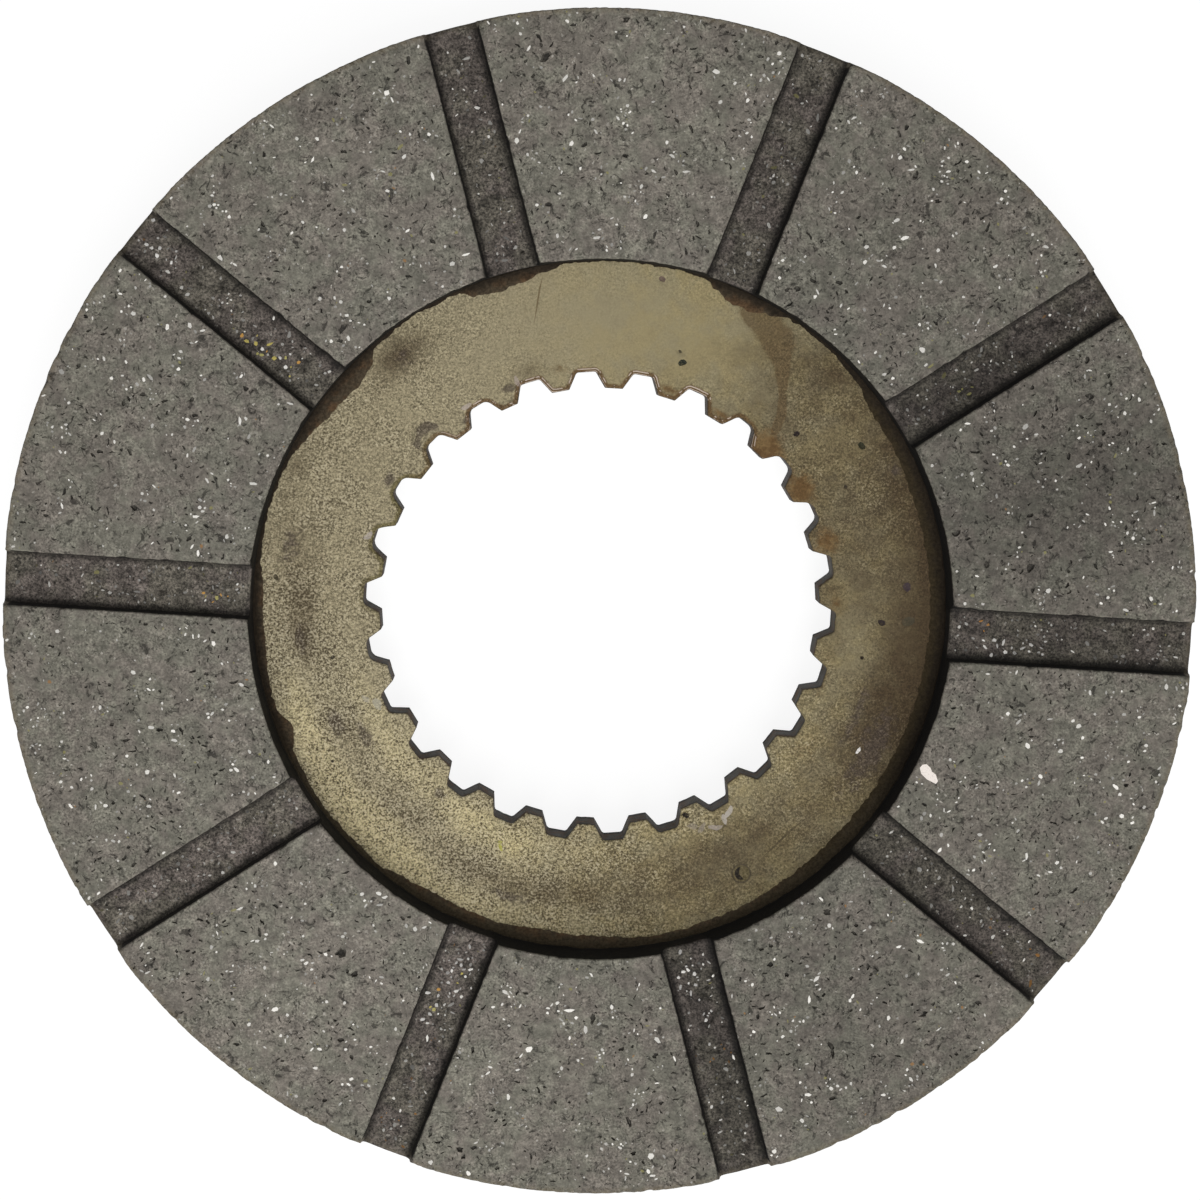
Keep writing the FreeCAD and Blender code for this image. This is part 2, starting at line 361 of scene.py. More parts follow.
class Skin:
    """A mesh under construction, in millimetres, with a mark on each face and a stain on each point."""

    def __init__(self):
        self.points = []
        self.faces = []
        self.marks = []
        self.flat = []
        self.edge_distance = []

    def point(self, x, y, z):
        self.points.append((x, y, z))
        return len(self.points) - 1

    def face(self, corners, mark=BARE, flat=False):
        self.faces.append(corners)
        self.marks.append(mark)
        self.flat.append(flat)

    def bands(self, rows):
        """Closed band of quads between each closed row of points and the next."""
        for upper, lower in zip(rows, rows[1:]):
            for i in range(len(upper)):
                j = (i + 1) % len(upper)
                self.face((upper[i], lower[i], lower[j], upper[j]))

    def fill(self, outline, holes, details, loose, level, flat):
        """Triangulate the inside of an outline, outside its holes, with details and loose points in it."""
        edge = list(outline)
        rings = [list(range(len(outline)))]
        for hole in holes:
            rings.append(list(range(len(edge), len(edge) + len(hole))))
            edge.extend(hole)
        flat_points = [Vector(self.points[i][:2]) for i in edge]
        heights = []
        ring_marks = [BARE] * len(rings)
        for ring, mark in details:
            if len(ring) > 2:
                start = len(flat_points)
                rings.append(list(range(start, start + len(ring))))
                ring_marks.append(mark)
            for x, y, z in ring:
                flat_points.append(Vector((x, y)))
                heights.append(z)
        for x, y, z in loose:
            flat_points.append(Vector((x, y)))
            heights.append(z)
        found = delaunay_2d_cdt(flat_points, [], rings, 1, 1e-5)
        names = []
        for spot, sources in zip(found[0], found[3]):
            if sources and sources[0] < len(edge):
                names.append(edge[sources[0]])
            else:
                height = heights[sources[0] - len(edge)] if sources else level
                names.append(self.point(spot.x, spot.y, height))
        first_detail = 1 + len(holes)
        for corners, sources in zip(found[2], found[5]):
            if not any(0 < source < first_detail for source in sources):
                self.face([names[i] for i in corners], ring_marks[max(sources)], flat)

    def build(self, name, turned=False, stains=None, grain=None):
        """Blender object of the skin. A turned one is rolled half a turn about the X axis."""
        side = -1 if turned else 1
        mesh = bpy.data.meshes.new(name)
        placed = [(x * MM, side * y * MM, side * z * MM) for x, y, z in self.points]
        mesh.from_pydata(placed, [], self.faces)
        mesh.polygons.foreach_set("use_smooth", [not flat for flat in self.flat])
        marks = [mark for corners, mark in zip(self.faces, self.marks) for corner in corners]
        add_layer(mesh, "mark", "CORNER", marks)
        if stains is not None:
            add_layer(mesh, "stain", "POINT", [stains(*spot) for spot in self.points])
        if grain is not None:
            add_layer(mesh, "grain", "POINT", [grain(*spot) for spot in self.points])
        if self.edge_distance:
            add_layer(mesh, "edge_distance", "POINT", self.edge_distance)
        shell = bmesh.new()
        shell.from_mesh(mesh)
        bmesh.ops.recalc_face_normals(shell, faces=shell.faces)
        shell.to_mesh(mesh)
        shell.free()
        piece = bpy.data.objects.new(name, mesh)
        bpy.context.scene.collection.objects.link(piece)
        return piece


def add_layer(mesh, name, domain, values):
    """Layer of numbers or of four-part colours on a mesh, as an attribute that materials read."""
    if isinstance(values[0], tuple):
        layer = mesh.attributes.new(name, "FLOAT_COLOR", domain)
        layer.data.foreach_set("color", [part for colour in values for part in colour])
    else:
        layer = mesh.attributes.new(name, "FLOAT", domain)
        layer.data.foreach_set("value", values)


def soft_noise(x, y, z, size, seed):
    """Smooth noise from about -1 to 1, whose swells are about one size across."""
    return noise.noise(Vector((x / size + 17.3 * seed, y / size - 9.1 * seed, z / size + 3.7 * seed)))


def blend(start, end, share):
    """Value at a share of the way from a start to an end."""
    return start + (end - start) * share


def turned_point(u, v, angle):
    """Point at u along and v across a direction."""
    return u * math.cos(angle) - v * math.sin(angle), u * math.sin(angle) + v * math.cos(angle)


def direction(spot):
    """Angle of a point about the axis."""
    return math.atan2(spot[1], spot[0])


def blob(rand, x, y, size, stretch, corners, raggedness):
    """Irregular closed ring of flat points, whose mean radius is half a size."""
    lean = rand.uniform(0, math.pi)
    swing = rand.uniform(0, 2 * math.pi)
    ring = []
    for i in range(corners):
        angle = 2 * math.pi * (i + rand.uniform(-0.25, 0.25)) / corners
        reach = size / 2 * (1 + raggedness * (0.6 * math.sin(2 * angle + swing) + rand.uniform(-0.6, 0.6)))
        across = reach * math.sin(angle) / math.sqrt(stretch)
        along = reach * math.cos(angle) * math.sqrt(stretch)
        # A slight bow keeps long marks from being ovals
        across += 0.25 * raggedness * along * along / size
        px, py = turned_point(along, across, lean)
        ring.append((x + px, y + py))
    return ring


def shrunk(ring, x, y, share, rand):
    """The ring drawn in towards a point, a little unevenly."""
    drawn = []
    for px, py in ring:
        part = share * rand.uniform(0.85, 1.15)
        drawn.append((blend(x, px, part), blend(y, py, part)))
    return drawn


def raised(ring, z):
    """The flat ring at a level."""
    return [(x, y, z) for x, y in ring]


def pit_shade(rand):
    """Painted shade of a pit's floor, darker in some pits than in others."""
    shade = rand.uniform(0.01, 0.05)
    return (shade, 0.93 * shade, 0.8 * shade, rand.uniform(0.5, 0.95))


def pit(rand, x, y, size, level):
    """Rings of a void torn out of the surface, its floor and edge painted dark as shade."""
    depth = min(0.1 + 0.45 * size, DEEPEST_PIT) * rand.uniform(0.7, 1.1)
    small = size < SMALL_PIT
    mouth = blob(rand, x, y, size, rand.uniform(1.0, 2.6), 6 if small else 9, 0.6)
    if small:
        return [(raised(mouth, level), pit_shade(rand)), ([(x, y, level - depth)], BARE)]
    floor = shrunk(mouth, x, y, 0.62, rand)
    return [(raised(mouth, level), PIT_EDGE_SHADE), (raised(floor, level - depth), pit_shade(rand))]


def crack(rand, x, y, length, level):
    """Rings of a short crooked tear, wider than it is deep, its mouth painted dark as shade."""
    heading = rand.uniform(0, 2 * math.pi)
    steps = rand.choice((3, 4))
    stride = length / steps
    spine = [(x - stride * steps / 2 * math.cos(heading), y - stride * steps / 2 * math.sin(heading))]
    for step in range(steps):
        bend = heading + rand.uniform(-0.75, 0.75)
        last_x, last_y = spine[-1]
        spine.append((last_x + stride * math.cos(bend), last_y + stride * math.sin(bend)))
    left = []
    right = []
    for step in range(1, steps):
        half = rand.uniform(0.06, 0.17) * (0.6 + length / 2)
        px, py = spine[step]
        left.append((px - half * math.sin(heading), py + half * math.cos(heading)))
        right.append((px + half * math.sin(heading), py - half * math.cos(heading)))
    mouth = [spine[0]] + right + [spine[-1]] + left[::-1]
    depth = rand.uniform(0.12, 0.25)
    middle = [(px, py, level - depth) for px, py in spine[1:-1]]
    return [(raised(mouth, level), pit_shade(rand)), (middle[:2], BARE)]


def fleck(rand, x, y, size, level, colour, proud=0.0):
    """Rings of a grain or chopped fibre that shows in the surface."""
    corners = rand.choice((5, 6, 7))
    mouth = blob(rand, x, y, size, rand.choice((1.0, 1.2, 1.4, 1.8, 2.6)), corners, 0.25)
    if proud == 0.0:
        return [(raised(mouth, level), colour)]
    crown = shrunk(mouth, x, y, 0.5, rand)
    return [(raised(mouth, level), colour), (raised(crown, level + proud), colour)]


def fleck_colour(rand):
    """Most grains are off-white, some are dull, and a few are yellow-green or orange."""
    draw = rand.random()
    if draw < 0.02:
        return (0.3, 0.16, 0.06, 0.8)
    if draw < 0.1:
        return (0.27, 0.25, 0.1, 0.75)
    light = rand.choice((rand.uniform(0.3, 0.55), rand.uniform(0.6, 1.0)))
    return (light, 0.97 * light, 0.9 * light, 1.0)


def bed_colour(rand, warmth):
    """Colour of a fleck in a bed: yellow or orange for a share of them, else a pale grey."""
    if rand.random() < warmth:
        return rand.choice(((0.5, 0.42, 0.12, 1.0), (0.55, 0.3, 0.08, 1.0), (0.42, 0.38, 0.14, 1.0)))
    light = rand.uniform(0.3, 0.85)
    return (light, 0.97 * light, 0.92 * light, 1.0)


class Spacing:
    """Keeps marks from lying on each other."""

    def __init__(self):
        self.held = {}

    def take(self, x, y, radius):
        """Whether a place is free. A free one is held from then on."""
        column = int(x // SPACING_CELL)
        row = int(y // SPACING_CELL)
        for i in range(column - 1, column + 2):
            for j in range(row - 1, row + 2):
                for ox, oy, other in self.held.get((i, j), ()):
                    if math.hypot(x - ox, y - oy) < radius + other:
                        return False
        self.held.setdefault((column, row), []).append((x, y, radius))
        return True


def in_land(x, y, land, margin):
    """Whether a point lies on a land, at least a margin in from its edges."""
    radius = math.hypot(x, y)
    if not BORE_RADIUS + margin < radius < RIM_RADIUS - margin:
        return False
    near = turned_point(x, y, -land * GROOVE_PITCH)[1]
    far = turned_point(x, y, -(land + 1) * GROOVE_PITCH)[1]
    return near > GROOVE_HALF + margin and far < -GROOVE_HALF - margin


def random_spot(rand, land):
    """Random point in the ring sector of a land, even over the area."""
    radius = math.sqrt(rand.uniform(BORE_RADIUS ** 2, RIM_RADIUS ** 2))
    return turned_point(radius, 0, (land + rand.random()) * GROOVE_PITCH)


def land_marks(land, rand, seed, chosen):
    """Pits and flecks of one land: the chosen chip first, then clumps of random ones."""
    details = []
    spacing = Spacing()
    if chosen and in_land(*chosen[0], land, 0.2):
        for x, y in chosen:
            spacing.take(x, y, 0.5)
        details.append((raised(chosen, LAND_LEVEL), CHIP_COLOUR))
    placed = 0
    while placed < FLECKS_PER_LAND:
        x, y = random_spot(rand, land)
        cluster = rand.choice((1, 1, 1, 2, 3, 5))
        for member in range(cluster):
            size = random_size(rand, FLECK_SIZE, 0.36, 1.1)
            colour = fleck_colour(rand)
            if colour[0] < DULL_FLECK:
                size *= 0.75
            if in_land(x, y, land, EDGE_MARGIN + size / 2) and spacing.take(x, y, size * 0.62):
                details.extend(fleck(rand, x, y, size, LAND_LEVEL, colour))
                placed += 1
            x += rand.uniform(-1.0, 1.0)
            y += rand.uniform(-1.0, 1.0)
    placed = 0
    while placed < PITS_PER_LAND:
        x, y = random_spot(rand, land)
        thick = 0.4 + 1.5 * soft_noise(x, y, 0, 4.5, seed) + 0.5 * soft_noise(x, y, 0, 14.0, seed + 1)
        if rand.random() > thick:
            continue
        size = random_size(rand, PIT_SIZE, 0.42, 1.7)
        crooked = rand.random() < CROOKED_SHARE
        length = 0.5 + 1.1 * size
        reach = 0.6 * length if crooked else 0.72 * size
        if in_land(x, y, land, EDGE_MARGIN + 1.2 * reach) and spacing.take(x, y, reach):
            make, extent = (crack, length) if crooked else (pit, size)
            details.extend(make(rand, x, y, extent, LAND_LEVEL))
            placed += 1
    return details


def random_size(rand, usual, spread, largest):
    """Random size about a usual one, with few large ones."""
    return min(rand.lognormvariate(math.log(usual), spread), largest)


def swell(x, y, stain):
    """Strength of one stain at a point, falling off smoothly."""
    degrees, radius, along, across, strength = stain
    here = math.hypot(x, y)
    turn = math.remainder(math.atan2(y, x) - math.radians(degrees), 2 * math.pi)
    return strength * math.exp(-(turn * here / along) ** 2 - ((here - radius) / across) ** 2)


def lining_tone_and_shade(x, y, z):
    """Tone, partly painted light, centimetres from the nearest groove's middle, and that side's painted
    shade.
    """
    groove = round(math.atan2(y, x) / GROOVE_PITCH) % GROOVES
    across = turned_point(x, y, -groove * GROOVE_PITCH)[1]
    side = 1 if across > 0 else -1
    tone = 1.0
    if z > 0:
        for stain in LINING_TONES_AND_FALLOFF:
            tone += swell(x, y, stain)
    return tone, abs(across) / 10, SHADED_CORNERS.get((groove, side), 0.0), 0.0


def floor_height(x, y, seed):
    """Level of a groove floor, which is left rough."""
    relief = 0.6 * soft_noise(x, y, 0, 2.2, seed) + 0.4 * soft_noise(x, y, 0, 0.8, seed + 2)
    return FACE - GROOVE_DEPTH + FLOOR_RELIEF * relief


def edge_wear(x, y, seed):
    """How far an edge of a land is worn or chipped back."""
    grain = 0.24 * abs(soft_noise(x, y, 0, 0.7, seed))
    slow = 0.07 * (1 + soft_noise(x, y, 0, 3.1, seed + 3))
    bite = max(0.0, soft_noise(x, y, 5.0, 1.9, seed + 5) - 0.3) * 1.1
    return grain + slow + bite


def corner_wear(x, y, seed):
    """How far the corner of a land nearest to a point is worn off."""
    wear = soft_noise(round(x / CORNER_CELL), round(y / CORNER_CELL), 0, 1.7, seed + 9)
    return CORNER_WEAR * (1 + 1.6 * wear)


class Land:
    """One land between two grooves, with its rows of points from the face down to the groove floors."""

    def __init__(self, skin, index, seed):
        self.seed = seed
        self.near_turn = index * GROOVE_PITCH
        self.far_turn = (index + 1) * GROOVE_PITCH
        self.side_count = round((RIM_RADIUS - BORE_RADIUS) / EDGE_STEP) + 1
        self.rim_count = round((GROOVE_PITCH * RIM_RADIUS - 2 * GROOVE_HALF) / EDGE_STEP) - 1
        self.bore_count = round((GROOVE_PITCH * BORE_RADIUS - 2 * GROOVE_HALF) / EDGE_STEP) - 1
        self.rows = []
        for row in WALL_ROWS:
            self.rows.append([skin.point(*spot) for spot in self.row_points(*row)])
        skin.bands(self.rows)
        foot = self.rows[-1]
        rim_end = self.side_count + self.rim_count
        bore_start = rim_end + self.side_count
        # Feet of the walls: near from bore to rim, far from rim to bore, rim and bore with both corners
        self.near_foot = foot[:self.side_count]
        self.rim_foot = foot[self.side_count - 1:rim_end + 1]
        self.far_foot = foot[rim_end:bore_start]
        self.bore_foot = (foot[bore_start - 1:] + foot[:1])[::-1]

    def worn(self, start, spot, t, count, share, seed):
        """A setback plus the wear of the edge and of the nearer corner, at a share t of the way along."""
        near_corner = math.exp(-min(t, 1 - t) * count / CORNER_STEPS)
        return start + edge_wear(*spot, seed) * share + corner_wear(*spot, self.seed) * share * near_corner

    def unevenness(self, spot, depth):
        """How far a wall stands off its plane, below the worn edge."""
        if depth < ROUGH_WALL_DEPTH:
            return 0.0
        return WALL_ROUGHNESS * soft_noise(*spot, depth, 0.9, self.seed + 7)

    def side_points(self, depth, setback, share, turn, sign):
        """Points from bore to rim along one groove wall, on the given side of the groove."""
        round_off = 0.0
        above_floor = GROOVE_DEPTH - depth
        if above_floor < GROOVE_FILLET:
            round_off = GROOVE_FILLET - math.sqrt(GROOVE_FILLET ** 2 - (GROOVE_FILLET - above_floor) ** 2)
        half = GROOVE_HALF - depth * GROOVE_LEAN - round_off + setback
        bore_wear = corner_wear(*turned_point(BORE_RADIUS, sign * GROOVE_HALF, turn), self.seed) * share
        rim_wear = corner_wear(*turned_point(RIM_RADIUS, sign * GROOVE_HALF, turn), self.seed) * share
        points = []
        for i in range(self.side_count):
            t = i / (self.side_count - 1)
            guess = turned_point(blend(BORE_RADIUS, RIM_RADIUS, t), sign * GROOVE_HALF, turn)
            across = self.worn(half, guess, t, self.side_count, share, self.seed)
            across += self.unevenness(guess, depth)
            start = math.sqrt((BORE_RADIUS + setback + bore_wear) ** 2 - across ** 2)
            end = math.sqrt((RIM_RADIUS - setback - rim_wear) ** 2 - across ** 2)
            points.append(turned_point(blend(start, end, t), sign * across, turn))
        return points

    def arc_points(self, start, end, count, setback, share, depth, sign):
        """Points between two corners along the bore, with sign 1, or the rim, with sign -1."""
        radius = BORE_RADIUS if sign > 0 else RIM_RADIUS
        start_angle = direction(start)
        sweep = math.remainder(direction(end) - start_angle, 2 * math.pi)
        points = []
        for i in range(1, count + 1):
            t = i / (count + 1)
            angle = start_angle + sweep * t
            guess = turned_point(radius, 0, angle)
            inset = self.worn(setback, guess, t, count, share, self.seed + 11)
            inset += abs(self.unevenness(guess, depth))
            points.append(turned_point(radius + sign * inset, 0, angle))
        return points

    def row_points(self, depth, setback, share):
        near = self.side_points(depth, setback, share, self.near_turn, 1)
        far = self.side_points(depth, setback, share, self.far_turn, -1)
        far.reverse()
        rim = self.arc_points(near[-1], far[0], self.rim_count, setback, share, depth, -1)
        bore = self.arc_points(far[-1], near[0], self.bore_count, setback, share, depth, 1)
        points = []
        for x, y in near + rim + far + bore:
            z = floor_height(x, y, self.seed) if depth == GROOVE_DEPTH else FACE - depth
            points.append((x, y, z))
        return points


def groove_end(skin, start, end, radius, seed):
    """Points between the wall feet of a groove, counter-clockwise, where its floor ends at rim or bore."""
    first = direction(skin.points[start])
    sweep = math.remainder(direction(skin.points[end]) - first, 2 * math.pi)
    count = round(abs(sweep) * radius / EDGE_STEP) - 1
    points = []
    for i in range(1, count + 1):
        x, y = turned_point(radius, 0, first + sweep * i / (count + 1))
        points.append(skin.point(x, y, floor_height(x, y, seed)))
    return points


def groove_marks(rand, groove, seed, beds):
    """Flecks and pits of one groove floor, those in beds first, and the loose rough points between them."""
    turn = groove * GROOVE_PITCH
    half = GROOVE_HALF - GROOVE_DEPTH * GROOVE_LEAN - GROOVE_FILLET
    details = []
    spacing = Spacing()
    first = BORE_RADIUS + 1
    last = RIM_RADIUS - 1
    for bed, along, aside, reach_along, reach_across, count, warmth in beds:
        for member in range(count if bed == groove else 0):
            u = max(rand.gauss(along, reach_along), first)
            v = min(max(rand.gauss(aside, reach_across), FLECK_MARGIN - half), half - FLECK_MARGIN)
            size = rand.uniform(0.25, 0.7)
            x, y = turned_point(min(u, last), v, turn)
            if spacing.take(x, y, size * 0.6):
                colour = bed_colour(rand, warmth)
                details.extend(fleck(rand, x, y, size, floor_height(x, y, seed), colour, FLECK_PROUD))
    placed = 0
    warm = rand.random() < 0.5
    warm_place = rand.uniform(BORE_RADIUS + 4, RIM_RADIUS - 4)
    while placed < FLECKS_PER_GROOVE:
        u = rand.uniform(first, last)
        v = rand.uniform(FLECK_MARGIN - half, half - FLECK_MARGIN)
        if rand.random() > 0.55 + soft_noise(u, v, groove, 3.0, seed):
            continue
        size = random_size(rand, 0.85 * FLECK_SIZE, 0.36, 0.75)
        x, y = turned_point(u, v, turn)
        if spacing.take(x, y, size * 0.7):
            colour = fleck_colour(rand)
            if warm and abs(u - warm_place) < 3 and rand.random() < 0.4:
                colour = ORANGE_FLECK
            dulling = rand.choice((0.25, 0.4, 0.6, 0.85))
            dulled = tuple(dulling * part for part in colour[:3]) + (colour[3],)
            details.extend(fleck(rand, x, y, size, floor_height(x, y, seed), dulled, FLECK_PROUD))
            placed += 1
    for attempt in range(PIT_TRIES_PER_GROOVE):
        u = rand.uniform(first, last)
        v = rand.uniform(PIT_MARGIN - half, half - PIT_MARGIN)
        size = random_size(rand, PIT_SIZE, 0.4, 0.8)
        x, y = turned_point(u, v, turn)
        if spacing.take(x, y, size * 0.75):
            details.extend(pit(rand, x, y, size, floor_height(x, y, seed)))
    return details, rough_points(rand, turn, half, seed, spacing)


def rough_points(rand, turn, half, seed, spacing):
    """Loose points that make a groove floor rough, clear of its marks."""
    loose = []
    for i in range(1, round((RIM_RADIUS - BORE_RADIUS) / FLOOR_STEP)):
        for j in range(1, round(2 * half / FLOOR_STEP)):
            u = BORE_RADIUS + (i + rand.uniform(-0.4, 0.4)) * FLOOR_STEP
            v = -half + (j + rand.uniform(-0.4, 0.4)) * FLOOR_STEP
            x, y = turned_point(u, v, turn)
            height = floor_height(x, y, seed) + rand.uniform(-0.03, 0.03)
            if BORE_RADIUS + 0.4 < math.hypot(x, y) < RIM_RADIUS - 0.4 and spacing.take(x, y, 0.12):
                loose.append((x, y, height))
    return loose


def lining_skin(seed, chosen, beds):
    """Whole lining: lands, groove floors, bore and rim walls and the seat, as one closed skin."""
    rand = random.Random(seed)
    skin = Skin()
    lands = []
    for index in range(GROOVES):
        land = Land(skin, index, seed)
        lands.append(land)
        skin.fill(land.rows[0], [], land_marks(index, rand, seed, chosen), [], LAND_LEVEL, True)
    rim_loop = []
    bore_loop = []
    for index, land in enumerate(lands):
        groove = (index + 1) % GROOVES
        far = land.far_foot
        near = lands[groove].near_foot
        rim_end = groove_end(skin, far[0], near[-1], RIM_RADIUS - WALL_INSET, seed)
        bore_end = groove_end(skin, far[-1], near[0], BORE_RADIUS + WALL_INSET, seed)
        outline = far[::-1] + rim_end + near[::-1] + bore_end[::-1]
        details, loose = groove_marks(rand, groove, seed, beds)
        skin.fill(outline, [], details, loose, FACE - GROOVE_DEPTH, False)
        rim_loop.extend(land.rim_foot + rim_end)
        bore_loop.extend(land.bore_foot + bore_end)
    outer = lower_wall(skin, rim_loop, RIM_RADIUS, -1, seed)
    inner = lower_wall(skin, bore_loop, BORE_RADIUS, 1, seed)
    skin.fill(outer, [inner], [], [], SEAT, False)
    return skin


def lower_wall(skin, loop, radius, sign, seed):
    """Wall below the level of the groove floors, down to the seat. Gives its lowest row."""
    rows = [loop]
    for level in LOWER_ROWS:
        row = []
        for i in loop:
            x, y, z = skin.points[i]
            rough = 0.0 if level == SEAT else WALL_ROUGHNESS * abs(soft_noise(x, y, level, 1.1, seed))
            reach = radius + sign * (WALL_INSET + rough)
            row.append(skin.point(*turned_point(reach, 0, math.atan2(y, x)), level))
        rows.append(row)
    skin.bands(rows)
    return rows[-1]


def outwards(run):
    """Direction out of the hole, square to a run along its edge."""
    return Vector((run.y, -run.x))


def spline_row(level, widening, tip_round, root_round):
    """Closed row of points round the splined hole, counter-clockwise."""
    pitch = 2 * math.pi / TEETH
    tip_turn = math.asin(TIP_HALF_WIDTH / TIP_RADIUS)
    root_turn = math.asin(SPACE_HALF_WIDTH / ROOT_RADIUS)
    corners = []
    for space in range(TEETH):
        for radius, turn in (
            (TIP_RADIUS, tip_turn - pitch / 2),
            (ROOT_RADIUS, -root_turn),
            (ROOT_RADIUS, root_turn),
            (TIP_RADIUS, pitch / 2 - tip_turn),
        ):
            corners.append(Vector(turned_point(radius, 0, space * pitch + turn)))
    count = len(corners)
    moved = []
    for i in range(count):
        out_before = outwards((corners[i] - corners[i - 1]).normalized())
        out_after = outwards((corners[(i + 1) % count] - corners[i]).normalized())
        mitre = widening / (1 + out_before.dot(out_after))
        moved.append(corners[i] + (out_before + out_after) * mitre)
    ends = []
    for i in range(count):
        size = tip_round
        if i % 4 in (1, 2):
            turn = 360 * (i // 4) / TEETH
            worn = any(first < turn < last for first, last in WORN_SPACES)
            size = root_round * (WORN_ROUNDING if worn else 1.0)
        size = min(size * (1 + 0.9 * max(0.0, soft_noise(i, 0, 0, 1.37, 40) + 0.1)), LARGEST_ROUNDING)
        ends.append(rounded_corner(moved[i - 1], moved[i], moved[(i + 1) % count], size))
    points = []
    for i in range(count):
        points.extend(ends[i])
        start = ends[i][-1]
        end = ends[(i + 1) % count][0]
        for step in range(1, STRAIGHT_STEPS):
            points.append(start.lerp(end, step / STRAIGHT_STEPS))
    placed = []
    for spot in points:
        nick = max(0.0, soft_noise(spot.x, spot.y, level * 0.4, 1.3, SPLINE_SEED) - 0.3) * 0.18
        rough = 0.03 * soft_noise(spot.x, spot.y, level, 0.5, SPLINE_SEED + 1)
        reach = 1 + (nick + max(rough, 0.0)) / spot.length
        placed.append((spot.x * reach, spot.y * reach, level))
    return placed


def rounded_corner(last, corner, following, radius):
    """Five points on the arc that rounds a corner."""
    to_last = (last - corner).normalized()
    to_next = (following - corner).normalized()
    half = to_last.angle(to_next) / 2
    reach = radius / math.tan(half)
    start = corner + to_last * reach
    end = corner + to_next * reach
    centre = corner + (to_last + to_next).normalized() * (radius / math.sin(half))
    arc = []
    for step in range(5):
        spoke = (start - centre).lerp(end - centre, step / 4).normalized()
        arc.append(centre + spoke * radius)
    return arc


def polar_spot(degrees, radius):
    """Point at an angle in degrees and a radius."""
    return turned_point(radius, 0, math.radians(degrees))


def streak_depth(x, y):
    """How deep a point lies in the streak: 1 on its line, 0.5 at its edge and less outside."""
    best = 0.0
    spot = Vector((x, y))
    for first, second in zip(STREAK, STREAK[1:]):
        start = Vector(polar_spot(*first[:2]))
        run = Vector(polar_spot(*second[:2])) - start
        t = min(1.0, max(0.0, (spot - start).dot(run) / run.length_squared))
        away = (spot - start - run * t).length / blend(first[2], second[2], t)
        best = max(best, 1 - 0.5 * away)
    return best


def plate_stains(x, y, z):
    """Tone, partly painted light, purple stain, rust and brown streak at a point of the plate."""
    x, y = front_place(x, y, z)
    from_axis = math.hypot(x, y)
    if from_axis > BORE_RADIUS + 1.5:
        return COVERED_TONE, 0.0, 0.0, 0.0
    tone = PLATE_TONE
    for stain in PLATE_STAINS_AND_LIGHT:
        tone -= swell(x, y, stain)
    purple = max(swell(x, y, stain) for stain in PURPLE_STAINS)
    rust = max(swell(x, y, stain) for stain in RUST_STAINS)
    from_film = fringe_radius(math.degrees(math.atan2(y, x)) % 360) - from_axis
    streak = max(streak_depth(x, y), 0.47 - 0.25 * max(from_film, 0.0))
    return max(tone, 0.0), purple, rust, streak


def front_place(x, y, z):
    """Point of the front whose stains a point of the plate has: itself, or for the rear one turned away."""
    return turned_point(x, -y, REAR_TURN) if z < 0 else (x, y)


def plate_grain(x, y, z):
    """Depth of the blasted grain at a point of the plate."""
    x, y = front_place(x, y, z)
    depth = PLATE_GRAIN
    for stain in GRAIN_AREAS:
        depth += swell(x, y, stain)
    return max(depth, SHALLOWEST_GRAIN)


def arc_of(x, y, reach_x, reach_y, degrees):
    """Points round a place at the given angles."""
    arc = []
    for turn in degrees:
        angle = math.radians(turn)
        arc.append((x + reach_x * math.cos(angle), y + reach_y * math.sin(angle)))
    return arc


def ring_mark(level):
    """Small round punch mark on the plate, with a crescent pressed deeper on one side."""
    x, y = polar_spot(*RING_PLACE)
    details = []
    for radius, drop, mark in RING_STEPS:
        details.append((raised(arc_of(x, y, radius, radius, range(0, 360, 20)), level - drop), mark))
    crescent = arc_of(x, y, 1.0, 1.05, range(100, 301, 25))
    crescent += arc_of(x + 0.2, y + 0.15, 0.55, 0.6, range(250, 149, -25))
    details.append((raised(crescent, level - 0.11), CRESCENT_COLOUR))
    return details


def dark_line(half, colour, path, level):
    """Detail along a path of polar spots, pointed at both ends."""
    spots = [Vector(polar_spot(*spot)) for spot in path]
    left = []
    right = []
    for last, spot, following in zip(spots, spots[1:], spots[2:]):
        run = (following - last).normalized()
        aside = Vector((-run.y, run.x)) * half
        left.append(tuple(spot + aside))
        right.append(tuple(spot - aside))
    ring = [tuple(spots[0])] + right + [tuple(spots[-1])] + left[::-1]
    return raised(ring, level), colour


